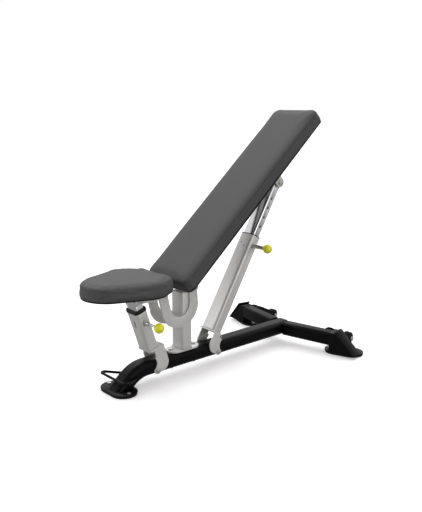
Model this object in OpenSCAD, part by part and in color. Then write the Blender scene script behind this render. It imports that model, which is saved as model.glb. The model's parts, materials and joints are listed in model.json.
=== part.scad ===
// Adjustable weight bench: a floor frame with rear wheels, a tilting seat and a
// back rest, each held by a telescopic stay with a spring pull pin.
// X runs across the bench, +Y to the rear and +Z up, with the floor at z = 0.

/* [Base frame] */
// Distance from the centre post to the rear cross member
beam_rear = 571; // [475:1:686]
// Distance from the centre post to the start of the front bend
beam_front = 185; // [154:1:222]
// Width of the main beam
beam_w = 74; // [61:1:89]
// Height of the main beam and of the rear legs
beam_h = 60; // [50:1:72]
// Height of the beam's centre line above the floor
beam_z = 68; // [56:1:82]
// Radius of the front bend
bend_r = 130; // [108:1:156]
// Angle of the front bend
bend_a = 42; // [35:1:51]
// Wall of every tube
wall = 3; // [2.5:0.5:4]
// Depth of a rear leg
leg_d = 52; // [43:1:63]
// Rearward sweep of a rear leg
leg_sweep = 11.5; // [9.5:0.5:14]
// Distance between the centres of the two rear feet
stance = 596; // [496:2:716]
// Length of a foot plate
foot_l = 170; // [142:2:204]
// Width of a foot plate
foot_w = 104; // [87:1:124]
// Turn of a rear foot plate
foot_turn = 19; // [16:1:23]
// Diameter of a transport wheel
wheel_d = 54; // [45:1:65]
// Width of a transport wheel
wheel_w = 28; // [23:1:34]

/* [Centre post] */
// Width of the centre post
post_w = 70; // [58:1:84]
// Depth of the centre post
post_d = 49; // [40:1:59]
// Height of the two hinges of the pads
hinge_z = 356; // [296:1:428]
// Width of a cradle plate's arm
arm_w = 45; // [37:1:54]
// Thickness of a cradle plate
arm_t = 8; // [6.5:0.5:10]

/* [Back rest] */
// Length of the back pad
back_l = 988; // [822:2:1186]
// Width of the back pad
back_w = 258; // [214:2:310]
// Thickness of the back cushion
back_t = 52; // [43:1:63]
// Angle of the back pad above the horizontal
back_angle = 41; // [34:0.5:49.5]
// Distance along the pad from its hinge to the stay's upper pivot
stay_reach = 615; // [512:1:738]

/* [Seat] */
// Length of the seat pad
seat_l = 340; // [284:2:408]
// Width of the seat pad
seat_w = 312; // [260:2:376]
// Thickness of the seat cushion
seat_t = 48; // [40:1:58]
// Distance from the seat's hinge to its stay
seat_reach = 112; // [93:1:135]

/* [Stays and pull pins] */
// Width of the back stay's outer tube
stay_w = 76; // [63:1:92]
// Depth of the back stay's outer tube
stay_d = 51; // [42:1:62]
// Length of the back stay's outer tube
stay_l = 434; // [361:1:521]
// Length of the back stay's inner tube below its upper pivot
slider_l = 488; // [406:1:586]
// Spacing of the adjustment holes
hole_pitch = 44.2; // [36.8:0.2:53.2]
// Diameter of an adjustment hole
hole_d = 10; // [8:0.5:12]
// Width of the seat stay's outer tube
prop_w = 72; // [60:1:87]
// Depth of the seat stay's outer tube
prop_d = 50; // [41:1:60]
// Diameter of a pivot bolt
bolt_d = 12; // [10:0.5:14.5]
// Diameter of a pull knob
knob_d = 39; // [32:1:47]

/* [Hidden] */
$fn = 64;
post_y = -175.5;
fit = 0.05;
gap = 1;
corner = 12;
steel_black = [0.06, 0.06, 0.065];
steel_silver = [0.74, 0.74, 0.73];
chrome = [0.82, 0.82, 0.84];
rubber = [0.04, 0.04, 0.04];
vinyl = [0.40, 0.40, 0.41];
yellow = [0.93, 0.88, 0.10];

// base frame
beam_corner = 22;
beam_top = beam_z + beam_h / 2;
beam_low = beam_z - beam_h / 2;
pad_h = 7;
plate_h = 5;
foot_top = pad_h + plate_h;
screw_d = 8;
screw_x = foot_l / 2 - 18;
bend_y = -beam_front - bend_r * sin(bend_a);
bend_z = beam_z - bend_r * (1 - cos(bend_a));
nose_l = (bend_z - foot_top) / sin(bend_a);
nose_y = bend_y - nose_l * cos(bend_a);
front_foot_y = nose_y - 10;
foot_x = stance / 2;
leg_end = (foot_x - 36) / cos(leg_sweep);
foot_y = beam_rear + foot_x * tan(leg_sweep) + 36;
toe_l = 118;
cover_out = 5;
cover_up = 9;
wheel_x = foot_x - 62;
wheel_y = beam_rear + wheel_x * tan(leg_sweep) + 153;
wheel_z = wheel_d / 2 + 3;
axle_d = 10;
fork_t = 5;
fork_x = wheel_w / 2 + 3;

// front handle, in its own slightly raised plane
handle_root = [-beam_front - bend_r * sin(32), beam_z - bend_r * (1 - cos(32))];
handle_tilt = 8;
handle_d = 10;
handle_x = 66;
handle_r = 16;
handle_turn = 36;
handle_leg = (handle_x + handle_r * cos(handle_turn) - beam_w / 2) / sin(handle_turn);
handle_out = handle_r * (1 + sin(handle_turn)) + handle_leg * cos(handle_turn);

// centre post and cradle
flange_l = 152;
flange_t = 8;
flange_bolt_y = 58;
post_top = hinge_z - 16;
arm_x = post_w / 2;
cradle = [-40, hinge_z - 61];
cradle_r = 68.5;
back_hinge = [26, hinge_z + 4];
seat_hinge = [-124, hinge_z - 4];
lug_x = arm_x + arm_t + gap;
lug_t = 7;

// back rest, in the pad's own frame: u along the pad and w square to it
board_t = 12;
wrap = 7;
back_rise = 48;
back_tail = 62;
ear_x = stay_w / 2 - 3.5;
ear_t = 8;
ear_r = 21;
rail_w = 25;
rail_h = back_rise - 12;
rail_x = max(lug_x, ear_x + ear_t + 1.5);
back_lug_t = lug_t + rail_x - lug_x;
pivot_w = -37;

// back stay: it turns about a bolt in the beam, which stands behind its centre line
stay_foot = [159, beam_z - 10];
stay_shift = 44.5;
stay_rise = 71;
stay_top = [back_hinge.x + stay_reach * cos(back_angle) - pivot_w * sin(back_angle),
            back_hinge.y + stay_reach * sin(back_angle) + pivot_w * cos(back_angle)];
stay_lean = atan2(stay_top.x - stay_foot.x, stay_top.y - stay_foot.y)
    + asin(stay_shift / norm(stay_top - stay_foot));
stay_span = sqrt(pow(norm(stay_top - stay_foot), 2) - pow(stay_shift, 2));
slider_w = stay_w - 2 * wall - 6;
slider_d = stay_d - 2 * wall - 6;
stay_pin = stay_rise + stay_l - 42;
low_hole = ceil((stay_span - slider_l + 20 - stay_pin) / hole_pitch);
high_hole = floor((stay_span - 60 - stay_pin) / hole_pitch);

// seat stay: the same, leaning forward
prop_foot = [-155, beam_z - 12];
prop_shift = 17.9;
prop_rise = 88;
prop_top = seat_hinge - [seat_reach, 0];
prop_lean = atan2(prop_foot.x - prop_top.x, prop_top.y - prop_foot.y)
    + asin(prop_shift / norm(prop_top - prop_foot));
prop_span = sqrt(pow(norm(prop_top - prop_foot), 2) - pow(prop_shift, 2));
prop_l = prop_span - prop_rise - 55;
prop_pin = prop_rise + prop_l - 45;
riser_w = prop_w - 2 * wall - 6;
riser_d = prop_d - 2 * wall - 6;
riser_l = prop_span - prop_rise - 12;

// seat
seat_rear = -108;
seat_board_z = seat_hinge.y + arm_w / 2 + 3.5;
seat_pad_z = seat_board_z + board_t;

hook_x = beam_w / 2 + gap;
hook_t = 6;
knob_x = 122;
pin_d = hole_d - 1;

// ---------- shared shapes ----------

// Places its children in the bench's own frame, whose origin is under the post.
module bench() {
    translate([0, post_y, 0]) children();
}

// Repeats its children on both sides of the bench.
module both_sides() {
    for (side = [0, 1]) mirror([side, 0, 0]) children();
}

// A rectangle with true round corners.
module round_rect(w, d, r) {
    square([w - 2 * r, d], center = true);
    square([w, d - 2 * r], center = true);
    for (x = [-1, 1], y = [-1, 1])
        translate([x * (w / 2 - r), y * (d / 2 - r)]) circle(r);
}

// The section of a tube.
module tube_section(w, d, r, t = wall) {
    difference() {
        round_rect(w, d, r);
        round_rect(w - 2 * t, d - 2 * t, r - t);
    }
}

// A plate with two round ends.
module slot_shape(l, w) {
    square([l - w, w], center = true);
    for (x = [-1, 1]) translate([x * (l - w) / 2, 0]) circle(w / 2);
}

// The ends of a straight edge along discs a and b, given as [x, y, radius]. It runs a
// hair inside them, so that it crosses their arcs instead of only touching.
function tangent(a, b) =
    let (v = [b.x - a.x, b.y - a.y],
         turn = atan2(v.y, v.x) - acos((a.z - b.z) / norm(v)),
         n = [cos(turn), sin(turn)])
    [[a.x, a.y] + (a.z - 0.05) * n, [b.x, b.y] + (b.z - 0.05) * n];

// A shape with straight edges round a ring of discs, which are listed anticlockwise.
module belt(discs) {
    last = len(discs) - 1;
    polygon([for (i = [0 : last]) each tangent(discs[i], discs[i < last ? i + 1 : 0])]);
    for (d = discs) translate([d.x, d.y]) circle(d.z, $fn = 96);
}

// A strip of even width between two points.
module strip(a, b, w) {
    translate(a) rotate(atan2(b.y - a.y, b.x - a.x))
        translate([0, -w / 2]) square([norm(b - a), w]);
}

// A flat shape drawn in the (y, z) plane, given thickness along X from x.
module side_plate(x, t) {
    translate([x, 0, 0]) rotate([90, 0, 90]) linear_extrude(t) children();
}

// A rod along X from x, centred on p in the (y, z) plane.
module cross_rod(p, d, x, l) {
    translate([x, p.x, p.y]) rotate([0, 90, 0]) cylinder(d = d, h = l);
}

// A hexagon head along X from x.
module hex_head(p, across, x, l) {
    translate([x, p.x, p.y]) rotate([0, 90, 0])
        cylinder(d = across / cos(30), h = l, $fn = 6);
}

// ---------- base frame ----------

// The beam's path filled with one section: straight, then bent down.
module beam_run(w, h, r) {
    translate([0, beam_rear + leg_d / 2, beam_z]) rotate([90, 0, 0])
        linear_extrude(beam_rear + leg_d / 2 + beam_front) round_rect(w, h, r);
    translate([0, -beam_front, beam_z - bend_r]) rotate([180, 0, 0]) rotate([0, 90, 0])
        rotate_extrude(angle = bend_a, $fn = 128)
            translate([bend_r, 0]) rotate(90) round_rect(w, h, r);
}

module main_beam() color(steel_black) bench() difference() {
    beam_run(beam_w, beam_h, beam_corner);
    beam_run(beam_w - 2 * wall, beam_h - 2 * wall, beam_corner - wall);
    for (p = [stay_foot, prop_foot]) cross_rod(p, bolt_d + 2 * fit, -beam_w, 2 * beam_w);
    for (y = [-flange_bolt_y, flange_bolt_y])
        translate([0, y, 0]) cylinder(d = 10 + 2 * fit, h = 2 * beam_top);
    translate([-beam_w, bend_y - beam_h, foot_top - 2 * beam_h])
        cube([2 * beam_w, 2 * beam_h, 2 * beam_h]);
}

// The beam's straight lower end, cut level on the front foot plate.
module beam_nose() color(steel_black) bench() difference() {
    translate([0, bend_y, bend_z]) rotate([bend_a + 90, 0, 0])
        linear_extrude(nose_l + beam_h) tube_section(beam_w, beam_h, beam_corner);
    translate([-beam_w, front_foot_y - 2 * beam_h, foot_top - 2 * beam_h])
        cube([2 * beam_w, 4 * beam_h, 2 * beam_h]);
}

module beam_plug() color(rubber) bench()
    translate([0, beam_rear + leg_d / 2 + 3, beam_z]) rotate([90, 0, 0])
        linear_extrude(3) round_rect(beam_w, beam_h, beam_corner);

// Turns its children into the frame of the leg on the +X side: X runs along the leg.
module leg_frame() {
    translate([0, beam_rear, 0]) rotate(leg_sweep) children();
}

module leg() difference() {
    leg_frame() translate([0, 0, beam_z]) rotate([90, 0, 90])
        linear_extrude(leg_end) tube_section(leg_d, beam_h, corner);
    translate([-beam_w / 2, 0, 0]) cube([beam_w, 2 * beam_rear, 2 * beam_top]);
}

module left_leg() color(steel_black) bench() leg();

module right_leg() color(steel_black) bench() mirror([1, 0, 0]) leg();

// The closed box at a leg's end: its outer side slopes down onto the foot, under a
// cover plate that stands a little proud all round.
module leg_boxes() color(steel_black) bench() both_sides() leg_frame() {
    translate([0, leg_d / 2, 0]) rotate([90, 0, 0]) difference() {
        linear_extrude(leg_d) box_side(0);
        translate([0, 0, wall]) linear_extrude(leg_d - 2 * wall) box_side(wall);
    }
    translate([0, leg_d / 2 + cover_out, 0]) rotate([90, 0, 0])
        linear_extrude(leg_d + 2 * cover_out) cover_side();
}

module cover_side() {
    rise = (toe_l - 36) / (beam_top - foot_top) * cover_up;
    polygon([[leg_end + toe_l - 3, foot_top], [leg_end + toe_l + 6, foot_top],
             [leg_end + 42 - rise, beam_top + cover_up],
             [leg_end + 33 - rise, beam_top + cover_up]]);
}

module box_side(inset) {
    low = foot_top + inset;
    high = beam_top - inset;
    polygon([[leg_end + inset, low], [leg_end + inset, high],
             [leg_end + 36 - inset * 0.4, high], [leg_end + toe_l - inset * 2.2, low]]);
}

module front_foot_plate() color(steel_black) bench()
    translate([0, front_foot_y, pad_h]) foot_plate([-screw_x, screw_x]);

module foot_plate(screws) difference() {
    linear_extrude(plate_h) slot_shape(foot_l, foot_w);
    for (x = screws) translate([x, 0, -1]) cylinder(d = screw_d + 2 * fit, h = 20);
}

// Places its children at both rear feet.
module at_rear_feet() both_sides() translate([foot_x, foot_y, 0]) rotate(foot_turn) children();

module rear_foot_plates() color(steel_black) bench()
    at_rear_feet() translate([0, 0, pad_h]) foot_plate([-screw_x]);

module foot_pad(screws) difference() {
    linear_extrude(pad_h) slot_shape(foot_l - 4, foot_w - 4);
    for (x = screws) translate([x, 0, 3]) cylinder(d = screw_d + 2 * fit, h = 20);
}

module foot_pads() color(rubber) bench() {
    translate([0, front_foot_y, 0]) foot_pad([-screw_x, screw_x]);
    at_rear_feet() foot_pad([-screw_x]);
}

module foot_screw(x) {
    translate([x, 0, 4]) cylinder(d = screw_d, h = foot_top - 4);
    translate([x, 0, foot_top]) cylinder(d = 15, h = 3);
}

module foot_screws() color(chrome) bench() {
    for (x = [-screw_x, screw_x]) translate([0, front_foot_y, 0]) foot_screw(x);
    at_rear_feet() foot_screw(-screw_x);
}

// A rod across the front of the beam, returning to its sides. The bench is lifted by it.
module front_handle() color(steel_black) bench()
    translate([0, handle_root.x, handle_root.y]) rotate([-handle_tilt, 0, 0]) difference() {
        union() {
            translate([-handle_x - 1, -handle_out, 0]) rotate([0, 90, 0])
                cylinder(d = handle_d, h = 2 * handle_x + 2);
            both_sides() translate([handle_x, handle_r - handle_out, 0]) {
                rotate(-90) rotate_extrude(angle = handle_turn + 90)
                    translate([handle_r, 0]) circle(d = handle_d + 0.6);
                rotate(handle_turn) translate([handle_r, -1, 0]) rotate([-90, 0, 0])
                    cylinder(d = handle_d, h = handle_leg + 12);
            }
        }
        translate([-beam_w / 2, -handle_out / 2, -beam_h])
            cube([beam_w, handle_out, 2 * beam_h]);
    }

// Two plates on each leg carry a wheel behind the foot.
module wheel_forks() color(steel_black) bench() both_sides() difference() {
    for (x = [wheel_x - fork_x - fork_t, wheel_x + fork_x])
        side_plate(x, fork_t) fork_shape();
    leg_frame() translate([0, -leg_d * 1.5, 0]) cube([2 * leg_end, leg_d * 2, 2 * beam_top]);
    cross_rod([wheel_y, wheel_z], axle_d + 2 * fit, wheel_x - wheel_w * 2, wheel_w * 4);
}

module fork_shape() {
    heel = wheel_y - 104;
    polygon([[heel - 46, beam_z - 22], [heel - 46, beam_top], [heel - 6, beam_top],
             [heel + 10, beam_top - 6], [wheel_y + 10, wheel_z + 10],
             [wheel_y - 5, wheel_z - 12]]);
    translate([wheel_y, wheel_z]) circle(14);
}

module wheel_axles() color(chrome) bench() both_sides() {
    reach = fork_x + fork_t;
    cross_rod([wheel_y, wheel_z], axle_d, wheel_x - reach, 2 * reach);
    for (x = [wheel_x - reach - 6, wheel_x + reach]) hex_head([wheel_y, wheel_z], 17, x, 6);
}

module wheel_hub() difference() {
    cross_rod([wheel_y, wheel_z], wheel_d - 16, wheel_x - wheel_w / 2 - 1.5, wheel_w + 3);
    cross_rod([wheel_y, wheel_z], axle_d + 2 * fit, wheel_x - wheel_w, 2 * wheel_w);
    for (x = [wheel_x - wheel_w / 2 - 3, wheel_x + wheel_w / 2 - 2]) difference() {
        cross_rod([wheel_y, wheel_z], wheel_d - 24, x, 5);
        cross_rod([wheel_y, wheel_z], axle_d + 8, x, 5);
    }
}

module wheel_tyre() translate([wheel_x, wheel_y, wheel_z]) rotate([0, 90, 0])
    rotate_extrude($fn = 96) difference() {
        translate([wheel_d / 4 + wheel_d / 8 - 2, 0]) round_rect(wheel_d / 4 + 4, wheel_w, 4);
        translate([0, -wheel_w]) square([wheel_d / 2 - 8, 2 * wheel_w]);
    }

module left_wheel_hub() color(steel_black) bench() wheel_hub();

module left_wheel_tyre() color(rubber) bench() wheel_tyre();

module right_wheel_hub() color(steel_black) bench() mirror([1, 0, 0]) wheel_hub();

module right_wheel_tyre() color(rubber) bench() mirror([1, 0, 0]) wheel_tyre();

// ---------- centre post ----------

module post_flange() color(steel_silver) bench() translate([0, 0, beam_top]) difference() {
    linear_extrude(flange_t) rotate(90) slot_shape(flange_l, post_w);
    for (y = [-flange_bolt_y, flange_bolt_y])
        translate([0, y, -1]) cylinder(d = 10 + 2 * fit, h = 20);
}

module centre_post() color(steel_silver) bench() translate([0, 0, beam_top + flange_t]) {
    linear_extrude(post_top - beam_top - flange_t - wall) tube_section(post_w, post_d, 8);
    translate([0, 0, post_top - beam_top - flange_t - wall])
        linear_extrude(wall) round_rect(post_w, post_d, 8);
}

// The bolts go right through the beam to nuts under it.
module flange_bolts() color(chrome) bench() for (y = [-flange_bolt_y, flange_bolt_y])
    translate([0, y, 0]) {
        translate([0, 0, beam_low - 8]) cylinder(d = 17 / cos(30), h = 8, $fn = 6);
        translate([0, 0, beam_low]) cylinder(d = 10, h = beam_h + flange_t);
        translate([0, 0, beam_top + flange_t]) cylinder(d = 17 / cos(30), h = 7, $fn = 6);
    }

// Angle round the cradle's middle line at which a straight arm to a tip leaves it.
function leaves(tip, side) =
    atan2(tip.y - cradle.y, tip.x - cradle.x) + side * acos(cradle_r / norm(tip - cradle));

function spoke(turn, r) = cradle + r * [cos(turn), sin(turn)];

// A plate shaped like a U: its front arm carries the seat, its rear arm the back rest.
module cradle_shape() difference() {
    front = leaves(seat_hinge, 1);
    rear = leaves(back_hinge, -1);
    union() {
        difference() {
            translate(cradle) circle(cradle_r + arm_w / 2, $fn = 128);
            translate(cradle) circle(cradle_r - arm_w / 2, $fn = 96);
            polygon([cradle, spoke(rear, 300), cradle + [300, 300], cradle + [-300, 300],
                     spoke(front, 300)]);
        }
        arm(spoke(front, cradle_r), seat_hinge);
        arm(spoke(rear, cradle_r), back_hinge);
    }
    for (p = [seat_hinge, back_hinge]) translate(p) circle(d = bolt_d + 2 * fit);
}

// An arm starts inside the ring, a little narrower than the ring and its own round end.
module arm(root, tip) {
    strip(root - 10 * (tip - root) / norm(tip - root), tip, arm_w - 4);
    translate(tip) circle(arm_w / 2);
}

module left_cradle() color(steel_silver) bench() side_plate(arm_x, arm_t) cradle_shape();

module right_cradle() color(steel_silver) bench()
    side_plate(-arm_x - arm_t, arm_t) cradle_shape();

// A bolt across the bench with a head on each end.
module pivot_bolt(p, half) {
    cross_rod(p, bolt_d, -half, 2 * half);
    for (x = [-half - 7, half]) hex_head(p, 17, x, 7);
}

module back_hinge_bolt() color(chrome) bench() pivot_bolt(back_hinge, lug_x + back_lug_t + gap / 2);

module seat_hinge_bolt() color(chrome) bench() pivot_bolt(seat_hinge, lug_x + lug_t + gap / 2);

module stay_foot_bolt() color(chrome) bench() pivot_bolt(stay_foot, hook_x + hook_t + gap / 2);

module prop_foot_bolt() color(chrome) bench() pivot_bolt(prop_foot, hook_x + hook_t + gap / 2);

// ---------- stays ----------

// Hook plate, drawn about its pivot: it swings round the beam to the tube's end above.
module hook_shape(top) difference() {
    union() {
        translate([-61, 20]) square([49, top - 20]);
        translate([-26, 20]) circle(35);
        circle(15);
    }
    translate([21, 38]) circle(31);
    circle(d = bolt_d + 2 * fit);
}

// Frame of a stay: Y across the tube towards its foot bolt, Z up the tube from that bolt.
module stay_frame() {
    translate([0, stay_foot.x, stay_foot.y]) rotate([-stay_lean, 0, 0]) children();
}

module prop_frame() {
    translate([0, prop_foot.x, prop_foot.y]) rotate([prop_lean, 0, 0]) mirror([0, 1, 0])
        children();
}

// The two hooks and the end plate that joins them to the tube.
module hook_set(top, tube_w, from, to) difference() {
    union() {
        both_sides() side_plate(hook_x, hook_t) hook_shape(top);
        translate([-hook_x - hook_t, from, top]) cube([2 * (hook_x + hook_t), to - from, 6]);
    }
    for (x = [-1, 1]) translate([x * (hook_x + hook_t), to, top - 1])
        rotate(45) cube([12, 12, 20], center = true);
}

// Outer tube of a stay with the pull pin's hole in its +X side.
module outer_tube(w, d, base, l, pin) difference() {
    translate([0, 0, base]) linear_extrude(l) tube_section(w, d, corner);
    translate([0, 0, pin]) rotate([0, 90, 0]) cylinder(d = pin_d + 1, h = w);
}

// Threaded body of a pull pin, standing on the tube's side.
module pin_housing(w, pin, l, d) translate([w / 2, 0, pin]) rotate([0, 90, 0]) difference() {
    union() {
        cylinder(d = 19 / cos(30), h = 9, $fn = 6);
        cylinder(d = d, h = l);
    }
    translate([0, 0, -1]) cylinder(d = pin_d + 2 * fit, h = l + 2);
}

// Pin of a pull pin: it stops just clear of the sliding tube, as while that is moved.
module pull_pin(inner_w, pin) translate([inner_w / 2 + 0.4, 0, pin]) rotate([0, 90, 0])
    cylinder(d = pin_d, h = knob_x - knob_d * 0.4 - inner_w / 2 - 0.4);

module knob(pin) translate([knob_x, 0, pin]) rotate([0, 90, 0]) difference() {
    rotate_extrude($fn = 96) intersection() {
        circle(d = knob_d);
        translate([0, -knob_d]) square([knob_d, 2 * knob_d]);
    }
    translate([0, 0, -knob_d]) cylinder(d = pin_d, h = 0.6 * knob_d);
}

module stay_tube() color(steel_silver) bench() stay_frame() translate([0, -stay_shift, 0])
    outer_tube(stay_w, stay_d, stay_rise, stay_l, stay_pin);

module stay_hooks() color(steel_silver) bench() stay_frame()
    hook_set(stay_rise - 6, stay_w, -stay_shift - stay_d / 2, -16);

// Black bush between the two tubes, with a thin rim over the outer tube's end.
module stay_liner() color(rubber) bench() stay_frame()
    translate([0, -stay_shift, stay_rise + stay_l]) {
        translate([0, 0, -32]) linear_extrude(32) difference() {
            round_rect(stay_w - 2 * wall, stay_d - 2 * wall, corner - wall);
            round_rect(slider_w + 0.6, slider_d + 0.6, corner - 4);
        }
        linear_extrude(4) difference() {
            round_rect(stay_w, stay_d, corner);
            round_rect(slider_w + 0.6, slider_d + 0.6, corner - 4);
        }
    }

module stay_pin_housing() color(steel_black) bench() stay_frame()
    translate([0, -stay_shift, 0])
        pin_housing(stay_w, stay_pin, knob_x - knob_d / 2 - stay_w / 2 - 6.5, 17);

// Inner tube of the back stay, with its row of holes in the +X side.
module stay_slider() color(chrome) bench() stay_frame() translate([0, -stay_shift, 0])
    difference() {
        translate([0, 0, stay_span - slider_l]) linear_extrude(slider_l - 24)
            tube_section(slider_w, slider_d, corner - 4);
        for (i = [low_hole : high_hole]) translate([0, 0, stay_pin + i * hole_pitch])
            rotate([0, 90, 0]) cylinder(d = hole_d, h = slider_w);
    }

// The closed end of a sliding tube, rounded about its pivot.
module slider_head(w, d, span) difference() {
    union() {
        translate([-w / 2 + 2, -d / 2, span - 24]) cube([w - 4, d, 24]);
        cross_rod([0, span], d, -w / 2 + 2, w - 4);
    }
    cross_rod([0, span], bolt_d + 3, -w, 2 * w);
}

module stay_slider_head() color(chrome) bench() stay_frame() translate([0, -stay_shift, 0])
    slider_head(slider_w, slider_d, stay_span);

module stay_pull_pin() color(chrome) bench() stay_frame() translate([0, -stay_shift, 0])
    pull_pin(slider_w, stay_pin);

module stay_knob() color(yellow) bench() stay_frame() translate([0, -stay_shift, 0])
    knob(stay_pin);

module prop_tube() color(steel_silver) bench() prop_frame() translate([0, -prop_shift, 0])
    difference() {
        outer_tube(prop_w, prop_d, prop_rise, prop_l, prop_pin);
        translate([0, 0, prop_pin - 4]) rotate([-90, 0, 0]) linear_extrude(prop_d)
            rotate(90) slot_shape(28, 8);
    }

module prop_hooks() color(steel_silver) bench() prop_frame()
    hook_set(prop_rise - 6, prop_w, -61, prop_d / 2 - prop_shift);

module prop_collar() color(rubber) bench() prop_frame()
    translate([0, -prop_shift, prop_rise + prop_l]) {
        translate([0, 0, -24]) linear_extrude(24) difference() {
            round_rect(prop_w - 2 * wall, prop_d - 2 * wall, corner - wall);
            round_rect(riser_w + 0.6, riser_d + 0.6, corner - 4);
        }
        linear_extrude(12) difference() {
            round_rect(prop_w + 4, prop_d + 4, corner + 2);
            round_rect(riser_w + 0.6, riser_d + 0.6, corner - 4);
        }
    }

module prop_pin_housing() color(steel_silver) bench() prop_frame()
    translate([0, -prop_shift, 0]) pin_housing(prop_w, prop_pin, 24, 15);

module prop_riser() color(chrome) bench() prop_frame() translate([0, -prop_shift, 0])
    difference() {
        translate([0, 0, prop_span - riser_l]) linear_extrude(riser_l - 24)
            tube_section(riser_w, riser_d, corner - 4);
        for (i = [0 : 3])
            translate([0, 0, prop_pin - i * 17]) rotate([0, 90, 0]) cylinder(d = hole_d, h = riser_w);
    }

module prop_riser_head() color(chrome) bench() prop_frame() translate([0, -prop_shift, 0])
    slider_head(riser_w, riser_d, prop_span);

module prop_pull_pin() color(chrome) bench() prop_frame() translate([0, -prop_shift, 0])
    pull_pin(riser_w, prop_pin);

module prop_knob() color(yellow) bench() prop_frame() translate([0, -prop_shift, 0])
    knob(prop_pin);

// ---------- back rest ----------

// Frame of the back rest: Y up the pad from the hinge and Z square to its board.
module back_frame() {
    translate([0, back_hinge.x, back_hinge.y]) rotate([back_angle, 0, 0]) children();
}

// A slab with rounded ends and rounded corners, from u1 to u2 and from w1 to w2.
// A flat cushion from w1 to w2, its upper ends rounded, over a board that it wraps.
module back_slab(width, u1, u2, w1, w2, round_r, corner_r) {
    l = u2 - u1;
    intersection() {
        translate([-width / 2, (u1 + u2) / 2, w1]) rotate([90, 0, 90]) linear_extrude(width) {
            translate([-l / 2, 0]) square([l, w2 - w1 - round_r]);
            translate([round_r - l / 2, 0]) square([l - 2 * round_r, w2 - w1]);
            for (y = [-1, 1]) translate([y * (l / 2 - round_r), w2 - w1 - round_r])
                circle(round_r);
        }
        translate([0, (u1 + u2) / 2, w1 - 10]) linear_extrude(w2 - w1 + 20)
            round_rect(width, l, corner_r);
    }
}

// The board's outline, inside the wrap of its cushion.
module back_board_shape() translate([0, back_l / 2 - back_tail])
    round_rect(back_w - 2 * wrap, back_l - 2 * wrap, 34 - wrap);

module back_pad() color(vinyl) bench() back_frame() difference() {
    back_slab(back_w, -back_tail, back_l - back_tail, back_rise + 1.5,
              back_rise + board_t + back_t, 20, 34);
    translate([0, 0, back_rise - 10]) linear_extrude(board_t + 10) back_board_shape();
}

module back_board() color(rubber) bench() back_frame()
    translate([0, 0, back_rise]) linear_extrude(board_t) back_board_shape();

module back_rails() color(steel_silver) bench() back_frame() both_sides()
    translate([rail_x + rail_w / 2, -26, back_rise - rail_h / 2]) rotate([-90, 0, 0])
        linear_extrude(back_l - back_tail - 34) tube_section(rail_w, rail_h, 5, 2);

module back_ties() color(steel_silver) bench() back_frame()
    for (u = [130, stay_reach - ear_r - 42, stay_reach + ear_r + 2])
        translate([-rail_x, u, back_rise - 5]) cube([2 * rail_x, 40, 5]);

module back_lugs() color(steel_silver) bench() back_frame() both_sides()
    side_plate(lug_x, back_lug_t) difference() {
        union() {
            circle(19.5);
            translate([-19.5, 0]) square([39, back_rise - rail_h]);
        }
        translate([-30, back_rise - rail_h]) square([60, 30]);
        circle(d = bolt_d + 2 * fit);
    }

module back_ears() color(steel_silver) bench() back_frame() both_sides()
    side_plate(ear_x, ear_t) difference() {
        union() {
            translate([stay_reach, pivot_w]) circle(ear_r);
            translate([stay_reach - ear_r, pivot_w]) square([2 * ear_r, back_rise - pivot_w]);
        }
        translate([stay_reach, pivot_w]) circle(d = bolt_d + 2 * fit);
    }

// Stub bolts in the ears. They stop short of the stay's head.
module ear_studs() color(chrome) bench() back_frame() both_sides() {
    cross_rod([stay_reach, pivot_w], bolt_d, ear_x, ear_t);
    cross_rod([stay_reach, pivot_w], 24, ear_x + ear_t, 6);
}

// ---------- seat ----------

// Plan of the seat: an oval front, widest behind its middle, and a straight rear edge.
module seat_shape(inset) {
    nose = [0, seat_rear - seat_l + 112, 112 - inset];
    hip = [seat_w / 2 - 96, seat_rear - 118, 96 - inset];
    heel = [seat_w / 2 - 78, seat_rear - 42, 42 - inset];
    belt([nose, hip, heel, [-heel.x, heel.y, heel.z], [-hip.x, hip.y, hip.z]]);
}

module seat_pad() color(vinyl) bench() difference() {
    translate([0, 0, seat_board_z + 1.5]) linear_extrude(board_t + seat_t - 1.5) seat_shape(0);
    translate([0, 0, seat_board_z - 10]) linear_extrude(board_t + 10) seat_shape(wrap);
}

module seat_board() color(rubber) bench()
    translate([0, 0, seat_board_z]) linear_extrude(board_t) seat_shape(wrap);

module seat_brackets() color(steel_silver) bench() both_sides()
    side_plate(lug_x, lug_t) difference() {
        union() {
            translate(seat_hinge) circle(19.5);
            translate(prop_top) circle(17);
            strip(prop_top - [70, -16], seat_hinge + [10, 16], 20);
            strip(prop_top, seat_hinge, 26);
        }
        translate(seat_hinge) circle(d = bolt_d + 2 * fit);
        translate(prop_top) circle(d = bolt_d + 2 * fit);
    }

// Stub bolts between the brackets and the seat stay's head, which they don't enter.
module seat_studs() color(chrome) bench() both_sides() {
    cross_rod(prop_top, 20, riser_w / 2 + 1, lug_x - riser_w / 2 - 1);
    cross_rod(prop_top, bolt_d, lug_x, lug_t);
    cross_rod(prop_top, 20, lug_x + lug_t, 5);
}

main_beam();
beam_nose();
beam_plug();
left_leg();
right_leg();
leg_boxes();
front_foot_plate();
rear_foot_plates();
foot_pads();
foot_screws();
front_handle();
wheel_forks();
wheel_axles();
left_wheel_hub();
left_wheel_tyre();
right_wheel_hub();
right_wheel_tyre();
post_flange();
centre_post();
flange_bolts();
left_cradle();
right_cradle();
back_hinge_bolt();
seat_hinge_bolt();
stay_foot_bolt();
prop_foot_bolt();
stay_tube();
stay_hooks();
stay_liner();
stay_pin_housing();
stay_slider();
stay_slider_head();
stay_pull_pin();
stay_knob();
prop_tube();
prop_hooks();
prop_collar();
prop_pin_housing();
prop_riser();
prop_riser_head();
prop_pull_pin();
prop_knob();
back_pad();
back_board();
back_rails();
back_ties();
back_lugs();
back_ears();
ear_studs();
seat_pad();
seat_board();
seat_brackets();
seat_studs();
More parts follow.
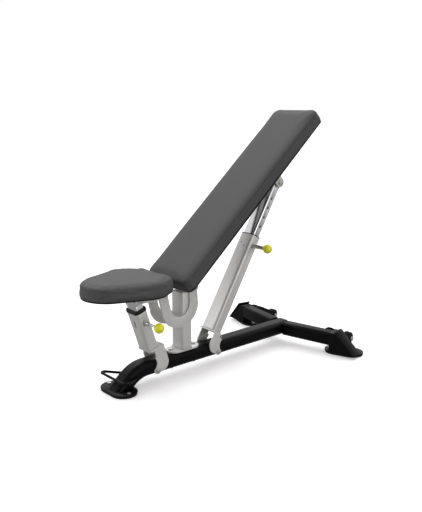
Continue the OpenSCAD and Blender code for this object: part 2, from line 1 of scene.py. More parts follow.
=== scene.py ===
import json
import math
import bpy
from mathutils import Matrix, Vector
from mathutils.bvhtree import BVHTree


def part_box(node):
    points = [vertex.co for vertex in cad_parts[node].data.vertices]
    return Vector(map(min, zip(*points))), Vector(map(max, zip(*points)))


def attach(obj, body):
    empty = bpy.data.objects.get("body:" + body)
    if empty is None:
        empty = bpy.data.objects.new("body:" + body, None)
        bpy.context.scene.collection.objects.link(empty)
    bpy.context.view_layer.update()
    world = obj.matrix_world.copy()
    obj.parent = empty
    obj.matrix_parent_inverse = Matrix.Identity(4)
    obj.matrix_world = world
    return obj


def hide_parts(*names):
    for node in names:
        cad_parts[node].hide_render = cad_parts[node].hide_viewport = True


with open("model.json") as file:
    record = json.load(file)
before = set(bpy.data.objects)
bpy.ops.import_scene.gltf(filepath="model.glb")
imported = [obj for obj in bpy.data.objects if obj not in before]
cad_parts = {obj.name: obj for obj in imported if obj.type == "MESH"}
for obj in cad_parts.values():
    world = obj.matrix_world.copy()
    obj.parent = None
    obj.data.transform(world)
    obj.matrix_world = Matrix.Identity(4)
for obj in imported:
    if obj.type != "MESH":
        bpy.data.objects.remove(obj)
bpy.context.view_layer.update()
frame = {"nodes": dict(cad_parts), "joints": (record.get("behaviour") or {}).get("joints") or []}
nodes = frame["nodes"]
joints = {joint["name"]: joint for joint in frame["joints"]}
print("frame loaded:", len(nodes), "nodes")


# ---------- materials ----------

class Signal:                                  # one output of a node, with maths on it
    def __init__(self, finish, socket):
        self.finish, self.socket = finish, socket

    def maths(self, operation, first, second):
        return self.finish.node("Math", {"operation": operation}, {0: first, 1: second})

    def __add__(self, other):
        return self.maths("ADD", self, other)

    __radd__ = __add__

    def __sub__(self, other):
        return self.maths("SUBTRACT", self, other)

    def __rsub__(self, other):
        return self.maths("SUBTRACT", other, self)

    def __mul__(self, other):
        return self.maths("MULTIPLY", self, other)

    __rmul__ = __mul__

class Finish:                                  # a material and the nodes that make it
    def __init__(self, name, **settings):
        self.material = bpy.data.materials.new(name)
        self.material.use_nodes = True
        self.tree = self.material.node_tree
        self.shader = self.tree.nodes["Principled BSDF"]
        for socket, value in settings.items():
            self.shader.inputs[socket.replace("_", " ")].default_value = value
        self.place = self.node("TexCoord", output="Object")

    def link(self, socket, value):
        if isinstance(value, Signal):
            self.tree.links.new(value.socket, socket)
        else:
            socket.default_value = value

    def node(self, kind, settings=None, sockets=None, output=0):
        made = self.tree.nodes.new("ShaderNode" + kind)
        for name, value in (settings or {}).items():
            if name == "stops":                # a ramp's stops as (position, grey)
                for at, (position, grey) in enumerate(value):
                    stop = made.color_ramp.elements[at]
                    stop.position, stop.color = position, (grey, grey, grey, 1)
            else:
                setattr(made, name, value)
        for name, value in (sockets or {}).items():
            self.link(made.inputs[name], value)
        return Signal(self, made.outputs[output])

    def stretched(self, scale, turn=(0, 0, 0)):
        return self.node("Mapping", {}, {"Vector": self.place, "Scale": scale, "Rotation": turn})

    def noise(self, scale, detail=3.0, vector=None):
        return self.node("TexNoise", {}, {"Vector": vector or self.place, "Scale": scale,
                                          "Detail": detail})

    def cells(self, scale, feature="F1"):
        return self.node("TexVoronoi", {"feature": feature},
                         {"Vector": self.place, "Scale": scale}, "Distance")

    def ramp(self, value, low, high):          # 0 below low, 1 above high
        return self.node("ValToRGB", {"stops": [(low, 0), (high, 1)]}, {"Fac": value})

    def colours(self, factor, first, second):
        return self.node("Mix", {"data_type": "RGBA"}, {0: factor, 6: first, 7: second}, 2)

    def set(self, **sockets):
        for name, value in sockets.items():
            self.link(self.shader.inputs[name.replace("_", " ")], value)
        return self

    def bumps(self, height, strength, depth):
        self.link(self.shader.inputs["Normal"], self.node(
            "Bump", {}, {"Height": height, "Strength": strength, "Distance": depth}))
        return self


def shade(colour, factor):
    return tuple(channel * factor for channel in colour) + (1,)


def makeVinyl(name, colour):                   # grained upholstery cloth, slightly uneven
    finish = Finish(name, Specular_IOR_Level=0.22)
    grain = finish.cells(520) * 0.7 + finish.noise(900, 2) * 0.5
    pores = finish.cells(1400, "DISTANCE_TO_EDGE")
    cloudy = finish.noise(7, 4)
    creases = finish.ramp(finish.noise(26, 5), 0.44, 0.5) * 0.25
    finish.set(Base_Color=finish.colours(cloudy * 0.7 + grain * 0.3, shade(colour, 0.86),
                                         shade(colour, 1.16)),
               Roughness=0.44 + cloudy * 0.12 + grain * 0.1)
    return finish.bumps(grain + pores * 0.6 + creases, 0.32, 0.0005)


def makePowderCoat(name, colour, roughness, metal=0.0, level=0.35):
    finish = Finish(name, Metallic=metal, Specular_IOR_Level=level)
    peel = finish.noise(620, 2)
    patches = finish.noise(11, 4)
    scuffs = finish.ramp(finish.noise(70, 6), 0.66, 0.74)
    finish.set(Base_Color=finish.colours(patches * 0.6 + scuffs * 0.25, shade(colour, 0.92),
                                         shade(colour, 1.14)),
               Roughness=roughness - 0.05 + patches * 0.08 + scuffs * 0.08 + peel * 0.05)
    return finish.bumps(peel + patches * 0.3, 0.18, 0.0004)


def makeSilverPaint(name, colour):             # metallic paint: fine flakes under orange peel
    finish = Finish(name, Metallic=0.35, Specular_IOR_Level=0.5)
    flakes = finish.cells(3200)
    peel = finish.noise(420, 2)
    patches = finish.noise(9, 3)
    finish.set(Base_Color=finish.colours(flakes * 0.5 + patches * 0.5, shade(colour, 0.9),
                                         shade(colour, 1.1)),
               Roughness=0.27 + flakes * 0.08 + patches * 0.06, Coat_Weight=0.12 + patches * 0.1)
    return finish.bumps(peel, 0.1, 0.0003)


def makePlating(name, colour, roughness, stretch=(1, 1, 1)):   # chrome or zinc, faint scratches
    finish = Finish(name, Metallic=1.0)
    scratches = finish.noise(260, 6, finish.stretched(stretch))
    smears = finish.noise(14, 3)
    finish.set(Base_Color=finish.colours(smears, shade(colour, 0.94), shade(colour, 1.04)),
               Roughness=roughness + scratches * 0.07 + smears * 0.05)
    return finish.bumps(scratches, 0.05, 0.0002)


def makeMoulded(name, colour, roughness, grainScale, depth):   # rubber or textured plastic
    finish = Finish(name, Specular_IOR_Level=0.3)
    grain = finish.cells(grainScale)
    dust = finish.ramp(finish.noise(22, 5), 0.5, 0.78)
    finish.set(Base_Color=finish.colours(dust * 0.5 + grain * 0.2, shade(colour, 0.85),
                                         shade(colour, 1.6)),
               Roughness=roughness + dust * 0.12)
    return finish.bumps(grain + finish.noise(grainScale, 2), 0.3, depth)


def makeBallPlastic(name, colour):             # bright glossy plastic, a little cloudy
    finish = Finish(name, Specular_IOR_Level=0.5)
    cloudy = finish.noise(60, 3)
    finish.set(Base_Color=finish.colours(cloudy, shade(colour, 0.93), shade(colour, 1.05)),
               Roughness=0.24 + cloudy * 0.1, Coat_Weight=0.25 + cloudy * 0.1)
    return finish.bumps(finish.noise(700, 2), 0.06, 0.0002)


def makeDustCover(name, colour):               # black felt on the pads' boards
    finish = Finish(name, Specular_IOR_Level=0.15)
    threads = finish.noise(900, 3, finish.stretched((1, 0.15, 1)))
    crossing = finish.noise(900, 3, finish.stretched((0.15, 1, 1)))
    finish.set(Base_Color=finish.colours(threads * 0.5 + crossing * 0.5, shade(colour, 0.7),
                                         shade(colour, 1.5)), Roughness=0.8 + threads * 0.15)
    return finish.bumps(threads + crossing, 0.4, 0.0005)


finishes = {
    "vinyl": makeVinyl("greyVinyl", (0.076, 0.076, 0.077)),
    "black": makePowderCoat("blackPowderCoat", (0.003, 0.003, 0.0032), 0.34, level=0.1),
    "silver": makeSilverPaint("silverPaint", (0.72, 0.71, 0.695)),
    "chrome": makePlating("chromePlate", (0.80, 0.80, 0.82), 0.06, (1, 1, 0.05)),
    "zinc": makePlating("zincPlate", (0.62, 0.61, 0.58), 0.24),
    "weld": makePowderCoat("paintedWeld", (0.50, 0.495, 0.485), 0.36, metal=0.5, level=0.4),
    "rubber": makeMoulded("blackRubber", (0.010, 0.010, 0.010), 0.72, 1300, 0.0005),
    "plastic": makeMoulded("blackPlastic", (0.012, 0.012, 0.012), 0.42, 1900, 0.0002),
    "tyre": makeMoulded("tyreRubber", (0.011, 0.011, 0.011), 0.78, 900, 0.0004),
    "ball": makeBallPlastic("yellowBall", (0.95, 0.88, 0.008)),
    "cover": makeDustCover("boardCover", (0.012, 0.012, 0.012)),
}
print("materials:", len(finishes))

nodeFinishes = {
    "black": ["main_beam", "beam_nose", "left_leg", "right_leg", "leg_boxes",
              "front_foot_plate", "rear_foot_plates", "front_handle", "wheel_forks",
              "beam_plug"],
    "silver": ["post_flange", "centre_post", "left_cradle", "right_cradle", "stay_tube",
               "stay_hooks", "prop_tube", "prop_hooks", "back_rails", "back_ties",
               "back_lugs", "back_ears", "seat_brackets"],
    "zinc": ["foot_screws", "wheel_axles", "flange_bolts", "back_hinge_bolt",
             "seat_hinge_bolt", "stay_foot_bolt", "prop_foot_bolt", "ear_studs",
             "seat_studs", "prop_pin_housing", "stay_pin_housing"],
    "chrome": ["stay_slider", "stay_slider_head", "prop_riser", "prop_riser_head",
               "stay_pull_pin", "prop_pull_pin"],
    "rubber": ["foot_pads"],
    "plastic": ["stay_liner", "prop_collar", "left_wheel_hub",
                "right_wheel_hub"],
    "tyre": ["left_wheel_tyre", "right_wheel_tyre"],
    "ball": ["stay_knob", "prop_knob"],
    "cover": ["back_board", "seat_board"],
    "vinyl": ["back_pad", "seat_pad"],
}
edgeWidths = {"other": 0.0007, "main_beam": 0.0006, "back_board": 0.002, "seat_board": 0.002,
              "foot_pads": 0.0018, "front_foot_plate": 0.001, "rear_foot_plates": 0.001,
              "left_cradle": 0.0012, "right_cradle": 0.0012}


def softenEdges(piece, width, segments=3):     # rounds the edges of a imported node's mesh
    for face in piece.data.polygons:
        face.use_smooth = True
    merge = piece.modifiers.new("merge", "WELD")
    merge.merge_threshold = 0.00002
    bevel = piece.modifiers.new("edges", "BEVEL")
    bevel.width, bevel.segments = width, segments
    bevel.limit_method, bevel.angle_limit = "ANGLE", math.radians(40)
    bevel.use_clamp_overlap = True
    split = piece.modifiers.new("shading", "EDGE_SPLIT")
    split.split_angle = math.radians(38)
    split.use_edge_sharp = False


for finishName, members in nodeFinishes.items():
    for member in members:
        node = nodes[member]
        node.data.materials.clear()
        node.data.materials.append(finishes[finishName].material)
        softenEdges(node, edgeWidths.get(member, edgeWidths["other"]))
print("packed nodes finished")


# ---------- shared making ----------

def startPiece():                              # an operator acts on all that is selected
    if bpy.context.object and bpy.context.object.mode != "OBJECT":
        bpy.ops.object.mode_set(mode="OBJECT")
    bpy.ops.object.select_all(action="DESELECT")


def endPiece(piece, name, finish, body, place=None, angle=40):
    if piece.mode != "OBJECT":
        bpy.ops.object.mode_set(mode="OBJECT")
    bpy.ops.object.select_all(action="DESELECT")
    piece.select_set(True)
    bpy.context.view_layer.objects.active = piece
    bpy.ops.object.transform_apply(location=True, rotation=True, scale=True)
    if place is not None:
        piece.data.transform(place)
    bpy.ops.object.mode_set(mode="EDIT")
    bpy.ops.mesh.select_all(action="SELECT")
    bpy.ops.mesh.remove_doubles(threshold=0.00001)
    bpy.ops.mesh.normals_make_consistent(inside=False)
    bpy.ops.object.mode_set(mode="OBJECT")
    bpy.ops.object.shade_smooth_by_angle(angle=math.radians(angle))
    piece.name = name
    piece.data.materials.clear()
    piece.data.materials.append(finishes[finish].material)
    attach(piece, body)
    return piece


def selectEdges(piece, wanted):                # edit mode, edges chosen by their two ends
    bpy.ops.object.mode_set(mode="EDIT")
    bpy.ops.mesh.select_mode(type="EDGE")
    bpy.ops.mesh.select_all(action="DESELECT")
    bpy.ops.object.mode_set(mode="OBJECT")
    points = piece.data.vertices
    for edge in piece.data.edges:
        edge.select = wanted(points[edge.vertices[0]].co, points[edge.vertices[1]].co)
    bpy.ops.object.mode_set(mode="EDIT")


def turned(rings, sides=48):                   # a round shape grown ring by ring up Z
    startPiece()
    radius, height = rings[0]
    bpy.ops.mesh.primitive_circle_add(vertices=sides, radius=radius, fill_type="NGON",
                                      location=(0, 0, height))
    piece = bpy.context.object
    bpy.ops.object.transform_apply(location=True)
    bpy.ops.object.mode_set(mode="EDIT")
    bpy.ops.mesh.select_all(action="SELECT")
    for nextRadius, nextHeight in rings[1:]:
        bpy.ops.mesh.extrude_region_move(
            TRANSFORM_OT_translate={"value": (0, 0, nextHeight - height)})
        grow = nextRadius / radius
        bpy.ops.transform.resize(value=(grow, grow, 1), center_override=(0, 0, nextHeight))
        radius, height = nextRadius, nextHeight
    bpy.ops.object.mode_set(mode="OBJECT")
    return piece


def joined(pieces):                            # several solids as one piece
    bpy.ops.object.select_all(action="DESELECT")
    for piece in pieces:
        piece.select_set(True)
    bpy.context.view_layer.objects.active = pieces[0]
    if len(pieces) > 1:
        bpy.ops.object.join()
    return bpy.context.object


def beadAlong(points, radius, closed=True):    # a weld bead with its ripples, as a tube
    startPiece()
    curve = bpy.data.curves.new("bead", "CURVE")
    curve.dimensions, curve.bevel_depth, curve.bevel_resolution = "3D", radius, 3
    spline = curve.splines.new("POLY")
    spline.points.add(len(points) - 1)
    for at, point in enumerate(points):
        spline.points[at].co = (*point, 1)
        spline.points[at].radius = 1.0 if at % 2 else 0.8
    spline.use_cyclic_u = closed
    bead = bpy.data.objects.new("bead", curve)
    bpy.context.scene.collection.objects.link(bead)
    bpy.context.view_layer.objects.active = bead
    bead.select_set(True)
    bpy.ops.object.convert(target="MESH")
    return bpy.context.object


def alongX(point):                             # turns +Z to +X, then moves to a point
    return Matrix.Translation(point) @ Matrix.Rotation(math.pi / 2, 4, "Y")


def roundedLoop(width, depth, corner, step=0.002):   # points round a rounded rectangle
    points = []
    for quarter in range(4):
        sx, sy = ((1, 1), (-1, 1), (-1, -1), (1, -1))[quarter]
        centre = Vector((sx * (width / 2 - corner), sy * (depth / 2 - corner), 0))
        count = max(4, int(corner * 1.57 / step))
        for at in range(count + 1):
            turn = math.radians(90 * quarter + 90 * at / count)
            points.append(centre + corner * Vector((math.cos(turn), math.sin(turn), 0)))
    dense = []
    for at, point in enumerate(points):
        following = points[(at + 1) % len(points)]
        pieces = max(1, int((following - point).length / step))
        dense += [point.lerp(following, part / pieces) for part in range(pieces)]
    return dense


# ---------- frames of the moving bodies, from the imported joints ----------

def jointPoint(name):
    return Vector(joints[name]["pos_m"])


backTilt = math.radians(41)
backPlace = (Matrix.Translation(jointPoint("back_hinge"))
             @ Matrix.Rotation(backTilt, 4, "X"))          # X across, Y up the pad, Z out
stayAxis = Vector(joints["back_stay_slide"]["axis"])
propAxis = Vector(joints["seat_stay_slide"]["axis"])


def axisPlace(foot, axis, away):               # Z along a stay, X across the bench
    across = Vector((1, 0, 0))
    depth = axis.cross(across).normalized()
    turn = Matrix((across, depth, axis)).transposed().to_4x4()
    return Matrix.Translation(foot + depth * away) @ turn


stayPlace = axisPlace(jointPoint("back_stay_hinge"), stayAxis, -0.0445)
propPlace = axisPlace(jointPoint("seat_stay_hinge"), propAxis, 0.0179)


# ---------- cushions ----------

def discOutline(discs, count):                 # points on the skin round a set of discs
    points = []
    for at in range(count):
        turn = 2 * math.pi * at / count
        way = Vector((math.cos(turn), math.sin(turn)))
        x, y, radius = max(discs, key=lambda disc: disc[0] * way.x + disc[1] * way.y + disc[2])
        points.append(Vector((x, y)) + radius * way)
    return points


outlinePoints = 160
clothing = {"steps": 20, "quality": 3, "stiffness": 25, "heldHeight": 0.004}
seam = {"step": 0.006, "reach": 0.03, "spacing": 0.004, "search": 0.012, "spread": 0.0032}


def makeCushion(sizes, discs, low, high):
    startPiece()
    print("cushion:", sizes["name"])
    inset = sizes["swell"]
    outline = discOutline([(x, y, radius - inset) for x, y, radius in discs],
                          outlinePoints)
    bpy.ops.mesh.primitive_circle_add(vertices=outlinePoints, radius=1, fill_type="NGON")
    piece = bpy.context.object
    for vertex, point in zip(piece.data.vertices, outline):
        vertex.co = (point.x, point.y, low)
    bpy.ops.object.mode_set(mode="EDIT")
    bpy.ops.mesh.select_all(action="SELECT")
    bpy.ops.mesh.extrude_region_move(
        TRANSFORM_OT_translate={"value": (0, 0, high - low - sizes["crown"])})
    bpy.ops.mesh.select_all(action="SELECT")
    bpy.ops.mesh.normals_make_consistent(inside=False)
    top = high - sizes["crown"] - 0.001
    selectEdges(piece, lambda a, b: a.z > top and b.z > top)
    bpy.ops.mesh.bevel(offset=sizes["edge"], segments=5, affect="EDGES")
    selectEdges(piece, lambda a, b: a.z < low + 0.001 and b.z < low + 0.001)
    bpy.ops.mesh.bevel(offset=sizes["edge"] * 0.6, segments=3, affect="EDGES")
    bpy.ops.object.mode_set(mode="OBJECT")
    remesh = piece.modifiers.new("skin", "REMESH")
    remesh.mode, remesh.voxel_size = "VOXEL", sizes["voxel"]
    bpy.ops.object.modifier_apply(modifier="skin")
    padOut(piece, sizes, low)
    smooth = piece.modifiers.new("settle", "SMOOTH")
    smooth.factor, smooth.iterations = 0.5, 3
    bpy.ops.object.modifier_apply(modifier="settle")
    detail = piece.modifiers.new("finer", "SUBSURF")
    detail.levels = detail.render_levels = 1
    bpy.ops.object.modifier_apply(modifier="finer")
    seamIn(piece, sizes, outline, high)
    return piece


def padOut(piece, sizes, low):                 # cloth under pressure, its movement capped
    held = piece.vertex_groups.new(name="held")
    held.add([v.index for v in piece.data.vertices if v.co.z < low + clothing["heldHeight"]], 1.0, "ADD")
    cloth = piece.modifiers.new("padding", "CLOTH")
    cloth.settings.use_pressure = True
    cloth.settings.uniform_pressure_force = sizes["pressure"]
    cloth.settings.effector_weights.gravity = 0
    cloth.settings.vertex_group_mass = "held"
    cloth.settings.quality = clothing["quality"]
    cloth.settings.tension_stiffness = clothing["stiffness"]
    cloth.settings.compression_stiffness = clothing["stiffness"]
    cloth.point_cache.frame_start, cloth.point_cache.frame_end = 1, clothing["steps"]
    for step in range(1, clothing["steps"] + 1):
        bpy.context.scene.frame_set(step)
    moved = piece.evaluated_get(bpy.context.evaluated_depsgraph_get()).data.vertices
    settled = [vertex.co.copy() for vertex in moved]
    piece.modifiers.remove(cloth)
    bpy.context.scene.frame_set(1)
    for vertex, now in zip(piece.data.vertices, settled):
        shift = now - vertex.co
        if shift.length > sizes["cap"]:
            shift = shift.normalized() * sizes["cap"]
        vertex.co += shift
    piece.vertex_groups.clear()


def seamIn(piece, sizes, outline, high):       # presses the seam's groove into the skin
    tree = BVHTree.FromObject(piece, bpy.context.evaluated_depsgraph_get())
    middle = sum(outline, Vector((0, 0))) / len(outline)
    path = []
    dense = []
    for at, point in enumerate(outline):
        following = outline[(at + 1) % len(outline)]
        parts = max(1, int((following - point).length / seam["step"]))
        dense += [point.lerp(following, part / parts) for part in range(parts)]
    for point in dense:
        outwards = (point - middle).normalized()
        start = Vector((*(point + outwards * seam["reach"]), high - sizes["seamDrop"]))
        hit = tree.find_nearest(start)[0]
        if not path or (hit - path[-1]).length > seam["spacing"]:
            path.append(hit)
    sizes["seamPath"] = path
    lines = BVHTree.FromPolygons(path, [(at, (at + 1) % len(path), at)
                                        for at in range(len(path))])
    for vertex in piece.data.vertices:
        near = lines.find_nearest(vertex.co, seam["search"])
        if near[0] is not None:
            fade = math.exp(-(near[3] / seam["spread"]) ** 2)
            vertex.co -= vertex.normal * sizes["seamDepth"] * fade


def makePiping(sizes, place, name, body):      # the thin welt that lies in the groove
    path = sizes["seamPath"]
    startPiece()
    curve = bpy.data.curves.new(name, "CURVE")
    curve.dimensions, curve.bevel_depth, curve.bevel_resolution = "3D", 0.0011, 2
    spline = curve.splines.new("POLY")
    spline.points.add(len(path) - 1)
    for at, point in enumerate(path):
        spline.points[at].co = (*point, 1)
    spline.use_cyclic_u = True
    piping = bpy.data.objects.new(name, curve)
    bpy.context.scene.collection.objects.link(piping)
    bpy.context.view_layer.objects.active = piping
    piping.select_set(True)
    bpy.ops.object.convert(target="MESH")
    return endPiece(bpy.context.object, name, "vinyl", body, place, 180)


backCushion = {"name": "backCushion", "length": 0.988, "width": 0.258, "tail": 0.062,
               "low": 0.0495, "high": 0.112, "corner": 0.034, "voxel": 0.009,
               "swell": 0.0022, "crown": 0.002, "edge": 0.011, "pressure": 3, "cap": 0.005,
               "seamDrop": 0.013, "seamDepth": 0.0014}
halfWidth = backCushion["width"] / 2 - backCushion["corner"]
ends = (backCushion["corner"] - backCushion["tail"],
        backCushion["length"] - backCushion["tail"] - backCushion["corner"])
backDiscs = [(side * halfWidth, end, backCushion["corner"]) for side in (-1, 1) for end in ends]
backPad = makeCushion(backCushion, backDiscs, backCushion["low"], backCushion["high"])
endPiece(backPad, "backCushion", "vinyl", "back_rest", backPlace, 180)
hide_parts("back_pad")
makePiping(backCushion, backPlace, "backPiping", "back_rest")

seatLow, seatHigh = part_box("seat_pad")
seatCushion = {"name": "seatCushion", "width": seatHigh.x - seatLow.x, "nose": 0.112,
               "hip": 0.096, "hipBack": 0.118, "heel": 0.042, "heelIn": 0.078, "voxel": 0.007,
               "swell": 0.0022, "crown": 0.002, "edge": 0.010, "pressure": 3, "cap": 0.005,
               "seamDrop": 0.011, "seamDepth": 0.0014}
hipX = seatCushion["width"] / 2 - seatCushion["hip"]
heelX = seatCushion["width"] / 2 - seatCushion["heelIn"]
hipY, heelY = seatHigh.y - seatCushion["hipBack"], seatHigh.y - seatCushion["heel"]
seatDiscs = [(0, seatLow.y + seatCushion["nose"], seatCushion["nose"])]
seatDiscs += [(side * hipX, hipY, seatCushion["hip"]) for side in (-1, 1)]
seatDiscs += [(side * heelX, heelY, seatCushion["heel"]) for side in (-1, 1)]
seatPad = makeCushion(seatCushion, seatDiscs, seatLow.z, seatHigh.z)
endPiece(seatPad, "seatCushion", "vinyl", "seat", None, 180)
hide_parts("seat_pad")
makePiping(seatCushion, None, "seatPiping", "seat")
print("cushions done")


# ---------- pull knobs ----------

ballKnob = {"radius": 0.0195, "neck": 0.0095, "neckLength": 0.006, "rings": 14}


def knobRings(sizes):                          # a ball on a short neck, along its own Z
    radius, neck = sizes["radius"], sizes["neck"]
    start = -math.acos(neck / radius)
    rings = [(neck * 0.92, -radius - 0.001), (neck, -radius),
             (neck, radius * math.sin(start) - 0.0002)]
    for at in range(sizes["rings"] + 1):
        turn = start + (math.radians(86) - start) * at / sizes["rings"]
        rings.append((radius * math.cos(turn), radius * math.sin(turn)))
    return rings


for nodeName, bodyName, name in (("stay_knob", "stay_pin", "stayBall"),
                                 ("prop_knob", "seat_pin", "seatBall")):
    lowest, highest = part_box(nodeName)
    ball = turned(knobRings(ballKnob), 48)
    endPiece(ball, name, "ball", bodyName, alongX((lowest + highest) / 2), 50)
    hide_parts(nodeName)


# ---------- wheels ----------

wheelSizes = {"grooves": 4, "grooveDepth": 0.0012, "grooveTop": 0.0009, "grooveFoot": 0.0004,
              "shoulder": 0.003, "tyreDepth": 0.0085, "hubDepth": 0.0082, "boss": 0.009,
              "ribs": 6, "ribPlace": 0.0115, "ribLength": 0.007, "ribWidth": 0.0022}


def tyreRings(radius, bore, width):            # outside of the tread, then the bore
    half = width / 2
    rings = [(bore, -half + 0.001), (radius - wheelSizes["shoulder"], -half),
             (radius, -half + wheelSizes["shoulder"])]
    pitch = (width - 2 * wheelSizes["shoulder"]) / wheelSizes["grooves"]
    for at in range(1, wheelSizes["grooves"]):
        middle = -half + wheelSizes["shoulder"] + at * pitch
        foot = radius - wheelSizes["grooveDepth"]
        rings += [(radius, middle - wheelSizes["grooveTop"]),
                  (foot, middle - wheelSizes["grooveFoot"]),
                  (foot, middle + wheelSizes["grooveFoot"]),
                  (radius, middle + wheelSizes["grooveTop"])]
    rings += [(radius, half - wheelSizes["shoulder"]),
              (radius - wheelSizes["shoulder"], half), (bore, half - 0.001)]
    return rings


def hubRings(radius, boss, width):             # a dished disc with a raised boss each side
    half = width / 2
    return [(boss, -half - 0.0015), (boss, -half + 0.003), (radius * 0.78, -half + 0.004),
            (radius * 0.86, -half), (radius, -half + 0.0005), (radius, half - 0.0005),
            (radius * 0.86, half), (radius * 0.78, half - 0.004), (boss, half - 0.003),
            (boss, half + 0.0015)]


for side in ("left", "right"):
    lowest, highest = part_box(side + "_wheel_tyre")
    middle, wheelRadius = (lowest + highest) / 2, (highest.z - lowest.z) / 2
    treadWidth = highest.x - lowest.x
    tyre = turned(tyreRings(wheelRadius, wheelRadius - wheelSizes["tyreDepth"], treadWidth), 72)
    endPiece(tyre, side + "Tyre", "tyre", side + "_wheel", alongX(middle), 35)
    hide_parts(side + "_wheel_tyre")
    hubRadius = wheelRadius - wheelSizes["hubDepth"]
    solids = [turned(hubRings(hubRadius, wheelSizes["boss"], treadWidth), 48)]
    for at in range(wheelSizes["ribs"]):
        turn = 2 * math.pi * at / wheelSizes["ribs"]
        bpy.ops.object.select_all(action="DESELECT")
        bpy.ops.mesh.primitive_cube_add(
            size=1, location=(wheelSizes["ribPlace"], 0, 0),
            scale=(wheelSizes["ribLength"], wheelSizes["ribWidth"], treadWidth - 0.002))
        rib = bpy.context.object
        bpy.ops.object.transform_apply(location=True, scale=True)
        bevel = rib.modifiers.new("edges", "BEVEL")
        bevel.width, bevel.segments = 0.0005, 2
        bpy.ops.object.modifier_apply(modifier="edges")
        rib.data.transform(Matrix.Rotation(turn, 4, "Z"))
        solids.append(rib)
    hub = joined(solids)
    endPiece(hub, side + "Hub", "plastic", side + "_wheel", alongX(middle), 35)
    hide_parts(side + "_wheel_hub")
print("knobs and wheels done")


# ---------- weld beads and screws ----------

postLow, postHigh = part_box("centre_post")
postPlace = Matrix.Translation((0, (postLow.y + postHigh.y) / 2, postLow.z))
postSection = {"width": 0.070, "depth": 0.049, "corner": 0.0095, "start": 0, "lift": 0.0012,
               "gap": 0.003, "bead": 0.0024}
staySection = {"width": 0.076, "depth": 0.051, "corner": 0.013, "start": 0.071, "lift": 0.001,
               "gap": 0.0015, "bead": 0.0017}
propSection = {"width": 0.072, "depth": 0.050, "corner": 0.013, "start": 0.088, "lift": 0.001,
               "gap": 0.0015, "bead": 0.0017}


def weldRound(name, body, section, place):     # a bead round a tube's foot
    loop = roundedLoop(section["width"] + section["gap"], section["depth"] + section["gap"],
                       section["corner"])
    foot = Vector((0, 0, section["start"] + section["lift"]))
    bead = beadAlong([point + foot for point in loop], section["bead"])
    endPiece(bead, name, "weld", body, place)


weldRound("postWeld", "frame", postSection, postPlace)
weldRound("stayWeld", "back_stay", staySection, stayPlace)
weldRound("seatStayWeld", "seat_stay", propSection, propPlace)

stayScrews = {"radius": 0.0042, "height": 0.0022, "tubeLength": 0.434, "front": -0.012,
              "frontDrop": 0.040, "nextFront": 0.006, "nextDrop": 0.052, "side": 0.006,
              "sideDrop": 0.013}


def domeRings(radius, height):                 # a low button head with a driver socket
    return [(radius * 0.98, -0.0012), (radius, 0), (radius * 0.93, height * 0.55),
            (radius * 0.72, height * 0.88), (radius * 0.46, height), (radius * 0.44, height),
            (radius * 0.42, height * 0.45)]


tubeTop = staySection["start"] + stayScrews["tubeLength"]
frontFace, sideFace = -staySection["depth"] / 2, staySection["width"] / 2
forwards, sideways = (Matrix.Rotation(math.pi / 2, 4, axis) for axis in "XY")
screws = []
for point, facing in (
        ((stayScrews["front"], frontFace, tubeTop - stayScrews["frontDrop"]), forwards),
        ((stayScrews["nextFront"], frontFace, tubeTop - stayScrews["nextDrop"]), forwards),
        ((sideFace, stayScrews["side"], tubeTop - stayScrews["sideDrop"]), sideways)):
    screw = turned(domeRings(stayScrews["radius"], stayScrews["height"]), 24)
    screw.data.transform(Matrix.Translation(point) @ facing)
    screws.append(screw)
endPiece(joined(screws), "stayScrews", "zinc", "back_stay", stayPlace)
print("welds and screws done")


# ---------- stage, light and camera ----------

camera = {"place": (2.0588, -1.8227, 1.0568), "azimuth": 48.79, "elevation": 12.35,
          "lens": 48.27}
bpy.ops.object.select_all(action="DESELECT")
bpy.ops.object.camera_add(
    location=camera["place"],
    rotation=(math.radians(90 - camera["elevation"]), 0, math.radians(camera["azimuth"])))
viewer = bpy.context.object
viewer.data.sensor_width, viewer.data.lens = 36, camera["lens"]
viewer.data.clip_start, viewer.data.clip_end = 0.05, 100
bpy.context.scene.camera = viewer

floorLook = {"size": 60, "darkest": (0.86, 0.85, 0.855, 1), "lightest": (0.89, 0.88, 0.885, 1),
             "glow": (1, 0.985, 0.99, 1), "glowStrength": 0.32}
sunLook = {"place": (-1, 1, 3), "towards": (0.42, -0.30, -1), "energy": 1.4, "spread": 70}
skyward = {"way": (0, 0, 1), "start": -0.35, "end": 0.25, "low": 0.30, "high": 0.82}
dimCorner = {"way": (0.62, -0.60, 0.35), "start": 0.80, "end": 0.97, "low": 1.0, "high": 0.12}
frontLamp = {"way": (-0.35, -0.85, 0.25), "start": 0.86, "end": 0.97, "low": 0.0, "high": 1.6}
sideLamp = {"way": (0.98, 0.05, 0.12), "start": 0.90, "end": 0.98, "low": 0.0, "high": 1.3}

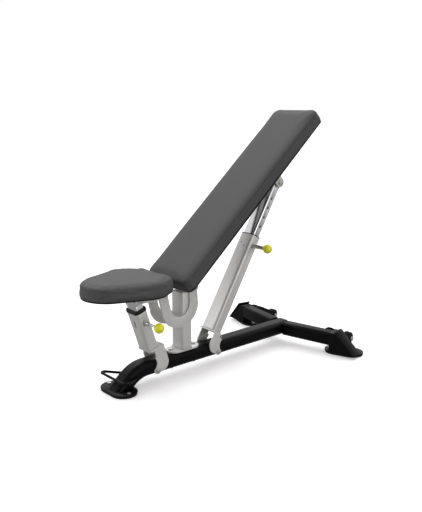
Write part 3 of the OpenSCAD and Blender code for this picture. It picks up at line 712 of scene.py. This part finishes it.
bpy.ops.object.select_all(action="DESELECT")
bpy.ops.mesh.primitive_plane_add(size=floorLook["size"], location=(0, 0, 0))
floor = bpy.context.object
floor.name = "floor"
paper = Finish("floorPaper", Roughness=0.9, Specular_IOR_Level=0.0)
paper.set(Base_Color=paper.colours(paper.noise(2, 2), floorLook["darkest"],
                                   floorLook["lightest"]))
paper.shader.inputs["Emission Color"].default_value = floorLook["glow"]
paper.shader.inputs["Emission Strength"].default_value = floorLook["glowStrength"]
floor.data.materials.append(paper.material)
floor.visible_diffuse = floor.visible_glossy = False   # the room below stands in for it

world = bpy.data.worlds.new("studio")
bpy.context.scene.world = world
world.use_nodes = True
worldTree = world.node_tree
backdrop = worldTree.nodes["Background"]
direction = worldTree.nodes.new("ShaderNodeTexCoord")


def worldNode(kind, operation, first, second):
    made = worldTree.nodes.new(kind)
    made.operation = operation
    for at, value in enumerate((first, second)):
        if isinstance(value, bpy.types.NodeSocket):
            worldTree.links.new(value, made.inputs[at])
        else:
            made.inputs[at].default_value = value
    return made.outputs["Value"]


def worldRegion(way, start, end, low, high):   # light that changes towards one direction
    spread = worldTree.nodes.new("ShaderNodeMapRange")
    spread.interpolation_type = "SMOOTHSTEP"
    worldTree.links.new(worldNode("ShaderNodeVectorMath", "DOT_PRODUCT",
                                  direction.outputs["Generated"], Vector(way).normalized()),
                        spread.inputs["Value"])
    for socket, value in (("From Min", start), ("From Max", end), ("To Min", low),
                          ("To Max", high)):
        spread.inputs[socket].default_value = value
    return spread.outputs["Result"]


room = worldRegion(**skyward)                  # dim below, lighter above
for operation, region in (("MULTIPLY", dimCorner), ("ADD", frontLamp), ("ADD", sideLamp)):
    room = worldNode("ShaderNodeMath", operation, room, worldRegion(**region))
seen = worldTree.nodes.new("ShaderNodeLightPath").outputs["Is Camera Ray"]
worldTree.links.new(worldNode("ShaderNodeMath", "MAXIMUM", room, seen),
                    backdrop.inputs["Strength"])
backdrop.inputs["Color"].default_value = (1, 1, 1, 1)

bpy.ops.object.select_all(action="DESELECT")
bpy.ops.object.light_add(type="SUN", location=sunLook["place"])
sun = bpy.context.object
sun.name = "softSun"
sun.data.energy, sun.data.angle = sunLook["energy"], math.radians(sunLook["spread"])
sun.rotation_euler = Vector(sunLook["towards"]).to_track_quat("-Z", "Y").to_euler()
bpy.context.scene.view_settings.view_transform = "Standard"
print("stage ready")
